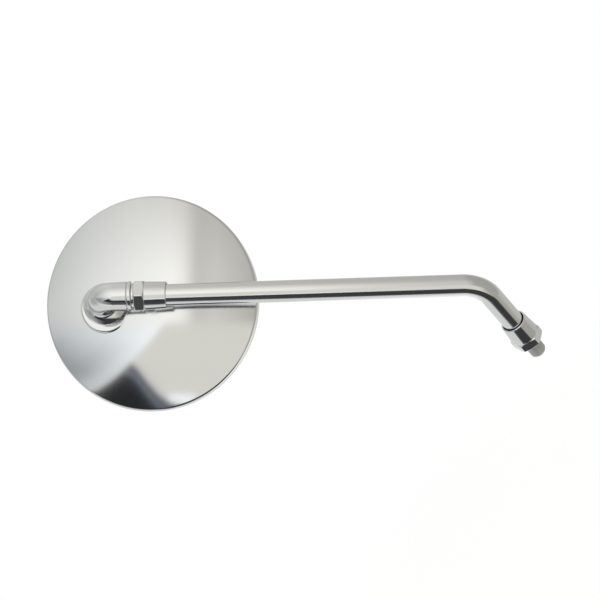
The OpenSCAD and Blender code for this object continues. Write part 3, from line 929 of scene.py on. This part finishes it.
def tube_rings():
    """Rings of the bent tube, outside from end to end and a little way into its bore."""
    tangent = BEND_R * math.tan(BEND_ANGLE / 2)
    low = CORNER_H - tangent
    stations = []
    edge = rounded([(TUBE_BORE_R, 3.0, 0), (TUBE_BORE_R, 0, 0.2), (TUBE_R, 0, 0.3), (TUBE_R, 2.0, 0)], 4)
    for p in edge:
        stations.append((shift(0, 0, TUBE_START + p.y), p.x))
    count = 16
    for k in range(1, count + 1):
        z = TUBE_START + 2 + (low - TUBE_START - 2) * k / count
        stations.append((shift(0, 0, z), TUBE_R))
    for k in range(1, 49):
        a = BEND_ANGLE * k / 48
        x = -BEND_R * (1 - math.cos(a))
        z = low + BEND_R * math.sin(a)
        stations.append((shift(x, 0, z) @ Matrix.Rotation(-a, 4, "Y"), TUBE_R))
    count = 90
    for k in range(1, count):
        z = tangent + (TUBE_END - 2 - tangent) * k / count
        stations.append((on_stem() @ shift(0, 0, z), TUBE_R))
    for p in reversed(edge):
        stations.append((on_stem() @ shift(0, 0, TUBE_END - p.y), p.x))
    return sweep(stations, 128)


def thread_rings():
    """Rings of the mounting stud: chamfered end, rolled thread, and its plain root inside the nut."""
    settings = bpy.context.scene.mirror_parts
    pitch = settings.thread_pitch / MM
    segments = settings.thread_turns_around
    depth = 0.6134 * pitch
    chamfer = 1.15
    rows = []
    z = 0.005 - STUD_L
    while z < -0.02:
        rows.append(z)
        z += pitch / 18
    rings = []
    for z in rows:
        ring = []
        for k in range(segments):
            a = 2 * math.pi * k / segments
            phase = (z / pitch - k / segments) % 1.0
            rise = abs(phase - 0.5) * 2
            tooth = min(max((rise - 0.20) / 0.70, 0.0), 1.0)
            r = STUD_R - 0.01 - depth * (1 - tooth)
            cone = STUD_R - chamfer + (z + STUD_L)
            fade = min(max((-z - 0.1) / 0.9, 0.0), 1.0)
            r = r * fade + (STUD_R - depth * 0.5) * (1 - fade)
            r = soft_least(r, max(cone, 0.4), 0.12)
            ring.append(Vector((r * math.cos(a), r * math.sin(a), z)))
        rings.append(ring)
    for r, z in ((THREAD_ROOT_R, 0.0), (THREAD_ROOT_R, 4.0), (THREAD_ROOT_R, TUBE_START),
                 (TUBE_BORE_R - 0.05, TUBE_START), (TUBE_BORE_R - 0.05, TUBE_START + 18.0)):
        rings += lathe(Matrix.Identity(4), [Vector((r, z))], segments)
    return rings


class MIRROR_OT_stage(bpy.types.Operator):
    """Make the camera, the pale floor, the soft lamps and the studio round the mirror"""

    bl_idname = "mirror.stage"
    bl_label = "Stage"

    def execute(self, context):
        settings = context.scene.mirror_parts
        context.scene.view_settings.view_transform = "Standard"
        data = bpy.data.cameras.new("photo camera")
        data.lens = settings.lens
        data.sensor_width = SENSOR
        data.clip_end = 20.0
        camera = bpy.data.objects.new("photo camera", data)
        axes = Matrix((CAMERA_RIGHT, CAMERA_UP, CAMERA_BACK)).transposed().to_4x4()
        camera.matrix_world = Matrix.Translation(Vector(CAMERA_PLACE)) @ axes
        context.scene.collection.objects.link(camera)
        context.scene.camera = camera
        make_floor(settings)
        make_lamps(context)
        make_studio(context.scene)
        return {"FINISHED"}


def make_floor(settings):
    """Round pale floor well under the mirror, which fades out towards its edge."""
    middle = Vector((-0.1, 0.03, -settings.floor_drop)) / MM
    radii = [Vector((r, 0)) for r in (0.001, 120.0, 220.0, 330.0)]
    floor = skin("floor", lathe(Matrix.Translation(middle), radii, 64))
    material = bpy.data.materials.new("pale floor")
    material.use_nodes = True
    w = Wires(material.node_tree)
    shader = material.node_tree.nodes["Principled BSDF"]
    output = material.node_tree.nodes["Material Output"]
    shader.inputs["Base Color"].default_value = (*settings.floor_colour, 1.0)
    shader.inputs["Roughness"].default_value = 0.8
    path = w.add("ShaderNodeLightPath")
    seen = w.math("ADD", path.outputs["Is Camera Ray"], path.outputs["Is Glossy Ray"], clamp=True)
    seen = w.math("ADD", seen, path.outputs["Is Transmission Ray"], clamp=True)
    glow = w.add("ShaderNodeEmission")
    glow.inputs["Color"].default_value = (1.0, 1.0, 1.0, 1.0)
    glow.inputs["Strength"].default_value = 1.0
    part = w.add("ShaderNodeMixShader")
    w.put(w.math("MULTIPLY", seen, 0.8), part.inputs[0])
    w.put(shader.outputs[0], part.inputs[1])
    w.put(glow.outputs[0], part.inputs[2])
    clear = w.add("ShaderNodeBsdfTransparent")
    place = w.add("ShaderNodeTexCoord").outputs["Object"]
    offset = w.add("ShaderNodeVectorMath", operation="SUBTRACT")
    w.put(place, offset.inputs[0])
    offset.inputs[1].default_value = middle * MM
    distance = w.add("ShaderNodeVectorMath", operation="LENGTH")
    w.put(offset.outputs[0], distance.inputs[0])
    edge = w.span(distance.outputs["Value"], 0.12, 0.31)
    fade = w.add("ShaderNodeMixShader")
    w.put(edge, fade.inputs[0])
    w.put(part.outputs[0], fade.inputs[1])
    w.put(clear.outputs[0], fade.inputs[2])
    w.put(fade.outputs[0], output.inputs["Surface"])
    floor.data.materials.append(material)


def make_lamps(context):
    """Two wide soft lamps, kept out of the metal, which shows the studio instead."""
    for name, spot, size, power in (("key lamp", (0.5, -0.7, 1.5), 1.2, 16.0),
                                    ("side lamp", (-1.2, -0.3, 0.9), 1.0, 7.0)):
        data = bpy.data.lights.new(name, "AREA")
        data.shape = "DISK"
        data.size = size
        data.energy = power
        lamp = bpy.data.objects.new(name, data)
        lamp.location = spot
        aim = Vector((-0.1, 0.03, 0.08)) - Vector(spot)
        lamp.rotation_euler = aim.to_track_quat("-Z", "Y").to_euler()
        lamp.visible_glossy = False
        context.scene.collection.objects.link(lamp)


def make_studio(scene):
    """World: white behind the mirror, and soft grey cards, a dark card and cool light in the metal."""
    world = bpy.data.worlds.new("soft studio")
    scene.world = world
    world.use_nodes = True
    w = Wires(world.node_tree)
    background = world.node_tree.nodes["Background"]
    direction = w.add("ShaderNodeTexCoord").outputs["Generated"]
    across = w.dot(direction, CAMERA_RIGHT)
    rise = w.dot(direction, CAMERA_UP)
    behind = w.dot(direction, CAMERA_BACK)
    turn_angle = w.math("DEGREES", w.math("ARCTAN2", rise, behind))
    side_angle = w.math("DEGREES", w.math("ARCSINE", across))
    # Grey cards from left to right over the mirror, one row low and one high, as (degrees, level).
    # Their levels, and the shapes further down, were matched to the tones that the photograph shows.
    left = w.span(side_angle, -90.0, 90.0, smooth=False)
    low_row = ((-90, 170), (-62, 198), (-38, 223), (-12, 241), (-7, 232), (-2, 188), (6, 198),
               (17, 183), (27, 160), (90, 154))
    high_row = ((-90, 164), (-68, 173), (-44, 191), (-26, 196), (-14, 192), (0, 171), (12, 156),
                (90, 152))
    rows = []
    for row in (low_row, high_row):
        stops = [((angle + 90) / 180, side_grey(level, angle)) for angle, level in row]
        rows.append(w.ramp(left, stops, "LINEAR"))
    upper = w.mix(w.span(turn_angle, 24.0, 72.0, smooth=False), rows[0], rows[1])
    # Rear, grey above and paler below
    result = w.mix(w.span(turn_angle, 118.0, 150.0), upper, card(177, 177, 172))
    table = w.mix(w.span(side_angle, -64.0, -42.0), card(162, 163, 162), card(200, 201, 198))
    table = w.mix(w.span(side_angle, 10.0, 50.0), table, card(168, 166, 160))
    result = w.mix(w.span(turn_angle, -72.0, -88.0), result, table)
    # Flat warm card under the line of sight
    diagonal = w.math("ADD", turn_angle, w.math("MULTIPLY", side_angle, -1.25))
    low = w.math("MULTIPLY", w.span(turn_angle, 5.0, 0.0), w.span(turn_angle, -76.0, -68.0))
    right = w.span(diagonal, 21.8, 20.9)
    warm = w.mix(w.span(side_angle, 26.0, 52.0), card(205, 203, 195), card(157, 154, 147))
    result = w.mix(w.math("MULTIPLY", low, right), result, warm)
    # Bright strip beside the dark card
    glint = w.math("MULTIPLY", w.span(turn_angle, -36.0, -33.0), w.span(turn_angle, -26.5, -29.5))
    glint = w.math("MULTIPLY", glint, w.span(side_angle, -15.0, -12.0))
    glint = w.math("MULTIPLY", glint, w.span(side_angle, -1.0, -4.0))
    result = w.mix(glint, result, card(242, 243, 243))
    # Cool fan left of it, with faint rays
    rays = w.add("ShaderNodeCombineXYZ")
    w.put(w.math("MULTIPLY", diagonal, 0.11), rays.inputs["X"])
    streak = w.noise(rays.outputs[0], 2.2, 3.0, 0.6)
    far_out = w.span(diagonal, 24.0, 37.0)
    depth = w.span(turn_angle, -4.0, -26.0, smooth=False)
    fall = w.math("SUBTRACT", 1.08, w.math("MULTIPLY", depth, 0.18))
    fade = w.math("ADD", 0.08, w.math("MULTIPLY", depth, 0.27))
    fall = w.math("SUBTRACT", fall, w.math("MULTIPLY", far_out, fade))
    fall = w.math("MULTIPLY", fall, w.span(streak, 0.25, 0.75, 0.91, 1.08, smooth=False))
    fan = w.mix(w.span(side_angle, -64.0, -20.0, smooth=False), card(183, 186, 187), card(232, 235, 237))
    fan = w.mix(1.0, fan, fall, "MULTIPLY")
    is_fan = w.math("MULTIPLY", w.span(turn_angle, 8.0, -6.0), w.span(diagonal, 20.9, 21.8))
    is_fan = w.math("MULTIPLY", is_fan, w.span(turn_angle, -50.0, -40.0))
    result = w.mix(is_fan, result, fan)
    # Dark card below, with its peak left of the middle and its tone paler to the left
    brow = ((-50, -15.0), (-29, -15.6), (-26, -18.6), (-21.5, -24.3), (-17, -29.0),
            (-12, -32.0), (-4, -34.0), (10, -37.5), (24, -39.5), (34, -43.0), (48, -54.0),
            (60, -68.0))
    stops = []
    for angle, height in brow:
        level = height / -70
        stops.append(((angle + 50) / 110, (level, level, level)))
    brink = w.ramp(w.span(side_angle, -50.0, 60.0, smooth=False), stops, "LINEAR")
    brink = w.math("MULTIPLY", brink, -70.0)
    under = w.math("SUBTRACT", brink, turn_angle)
    above = w.math("SUBTRACT", turn_angle, w.span(side_angle, -14.0, 2.0, -70.0, -90.0))
    dark = w.math("MULTIPLY", w.span(under, -1.2, 1.6), w.span(above, -7.0, 5.0))
    cut = w.math("MAXIMUM", w.span(diagonal, 20.8, 19.8), w.span(turn_angle, -36.0, -46.0))
    dark = w.math("MULTIPLY", dark, cut)
    dark = w.math("MULTIPLY", dark, w.span(side_angle, 62.0, 50.0))
    lower = w.span(turn_angle, -38.0, -52.0)
    start = w.math("ADD", w.math("MULTIPLY", lower, 34.0), -36.0)
    paler = w.math("DIVIDE", w.math("SUBTRACT", start, side_angle), 48.0, clamp=True)
    soot = w.mix(lower, card(30, 31, 33), card(54, 54, 55))
    soot = w.mix(w.span(paler, 0.0, 1.0), soot, card(150, 150, 148))
    side_light = w.math("MULTIPLY", w.span(side_angle, -33.0, -26.0), w.span(under, 11.0, 3.0))
    side_light = w.math("MULTIPLY", side_light, w.span(side_angle, 14.0, 2.0))
    soot = w.mix(w.math("MULTIPLY", side_light, 0.8), soot, card(72, 78, 94))
    curve = w.math("ABSOLUTE", w.math("SUBTRACT", under, 5.5))
    curve = w.math("MULTIPLY", w.span(curve, 0.9, 0.2), w.span(side_angle, -33.0, -30.0))
    curve = w.math("MULTIPLY", curve, w.span(side_angle, -8.0, -18.0))
    soot = w.mix(w.math("MULTIPLY", curve, 0.5), soot, card(176, 184, 190))
    result = w.mix(dark, result, soot)
    # White where a ray leaves the mirror straight to the backdrop behind it
    path = w.add("ShaderNodeLightPath")
    metal = w.math("ADD", path.outputs["Is Glossy Ray"], path.outputs["Is Transmission Ray"], clamp=True)
    metal = w.math("MULTIPLY", metal, w.span(behind, -0.955, -0.995))
    seen = w.math("ADD", path.outputs["Is Camera Ray"], metal, clamp=True)
    result = w.mix(seen, result, (1.0, 1.0, 1.0))
    w.put(result, background.inputs["Color"])
    background.inputs["Strength"].default_value = 1.0


class MIRROR_OT_hidden_pieces(bpy.types.Operator):
    """Give the carried-over swivel pieces, pad, seal and inner stud the materials of their slots"""

    bl_idname = "mirror.hidden_pieces"
    bl_label = "Inner Pieces"

    def execute(self, context):
        slots = {}
        for entry in frame["record"]["subparts"]:
            slots[entry["node"]] = entry["material_slot"]
        for name, piece in frame["nodes"].items():
            if name not in slots:
                raise RuntimeError(f"{name} has no slot in the record")
            piece.data.materials.clear()
            piece.data.materials.append(finish_of(slots[name]))
        return {"FINISHED"}


class MIRROR_OT_head(bpy.types.Operator):
    """Make the domed shell with its boss, ball seat and rolled rim, and the mirror glass"""

    bl_idname = "mirror.head"
    bl_label = "Shell and Glass"

    def execute(self, context):
        shell = skin("domed_shell", shell_rings(), closed=True)
        crisp(shell, 35.0)
        place_piece(shell, "head", ["shell"], finish_of("shell_chrome"))
        glass = skin("mirror_disc", glass_rings(), caps=(True, True))
        crisp(glass, 20.0)
        place_piece(glass, "head", ["glass"], finish_of("mirror_glass"))
        return {"FINISHED"}


class MIRROR_OT_elbow(bpy.types.Operator):
    """Make the cast elbow with its cup foot"""

    bl_idname = "mirror.elbow"
    bl_label = "Elbow"

    def execute(self, context):
        elbow = skin("cast_elbow", elbow_rings())
        crisp(elbow, 40.0)
        place_piece(elbow, "elbow_arm", ["elbow"], finish_of("elbow_chrome"))
        return {"FINISHED"}


class MIRROR_OT_nuts(bpy.types.Operator):
    """Make both lock nuts and the bright washer"""

    bl_idname = "mirror.nuts"
    bl_label = "Lock Nuts and Washer"

    def execute(self, context):
        metal = finish_of("nut_chrome")
        lower_place = turn(LOWER_NUT_CLOCK, "Z")
        lower = skin("lower_nut", nut_rings(lower_place, 0.0, LOWER_NUT_L, 8.85, 7.85, TUBE_R + 0.65))
        crisp(lower, 40.0)
        place_piece(lower, "lower_nut", ["lower_lock_nut"], metal)
        flip = Matrix.Diagonal((1, -1, -1, 1))
        upper_place = on_stem() @ shift(0, 0, UPPER_FACE) @ turn(UPPER_NUT_CLOCK, "Z") @ flip
        upper = skin("upper_nut", nut_rings(upper_place, NUT_FACE_H, UPPER_NUT_L, 8.3, 7.95, TUBE_R + 0.4))
        crisp(upper, 40.0)
        place_piece(upper, "upper_nut", ["upper_lock_nut"], metal)
        washer = skin("clamp_washer", washer_rings(), closed=True)
        crisp(washer, 40.0)
        place_piece(washer, "stem", ["elbow_washer"], metal)
        return {"FINISHED"}


class MIRROR_OT_stem(bpy.types.Operator):
    """Make the bent tube and the threaded mounting stud"""

    bl_idname = "mirror.stem"
    bl_label = "Tube and Stud"

    def execute(self, context):
        tube = skin("bent_tube", tube_rings(), closed=False)
        crisp(tube, 40.0)
        place_piece(tube, "stem", ["stem_tube"], finish_of("tube_chrome"))
        stud = skin("threaded_stud", thread_rings(), caps=(True, True))
        crisp(stud, 60.0)
        place_piece(stud, "stem", ["lower_stud"], finish_of("stud_steel"))
        return {"FINISHED"}


STEPS = (MIRROR_OT_stage, MIRROR_OT_hidden_pieces, MIRROR_OT_head, MIRROR_OT_elbow,
         MIRROR_OT_nuts, MIRROR_OT_stem)


class MIRROR_PT_panel(bpy.types.Panel):
    """Lists the mirror's pieces in the order in which they are made."""

    bl_idname = "MIRROR_PT_panel"
    bl_label = "Motorcycle Mirror"
    bl_space_type = "VIEW_3D"
    bl_region_type = "UI"
    bl_category = "Mirror"

    def draw(self, context):
        settings = context.scene.mirror_parts
        for name in MirrorSettings.__annotations__:
            self.layout.prop(settings, name)
        for step in STEPS:
            self.layout.operator(step.bl_idname)


CLASSES = (MirrorSettings, *STEPS, MIRROR_PT_panel)


def register():
    """Adds the classes and the settings."""
    for kind in CLASSES:
        bpy.utils.register_class(kind)
    bpy.types.Scene.mirror_parts = PointerProperty(type=MirrorSettings)


def unregister():
    """Takes the settings and the classes away."""
    del bpy.types.Scene.mirror_parts
    for kind in reversed(CLASSES):
        bpy.utils.unregister_class(kind)


def main():
    """Makes everything, in order."""
    register()
    bpy.ops.mirror.stage()
    bpy.ops.mirror.hidden_pieces()
    bpy.ops.mirror.head()
    bpy.ops.mirror.elbow()
    bpy.ops.mirror.nuts()
    bpy.ops.mirror.stem()
    bpy.context.view_layer.update()


if __name__ == "__main__":
    main()
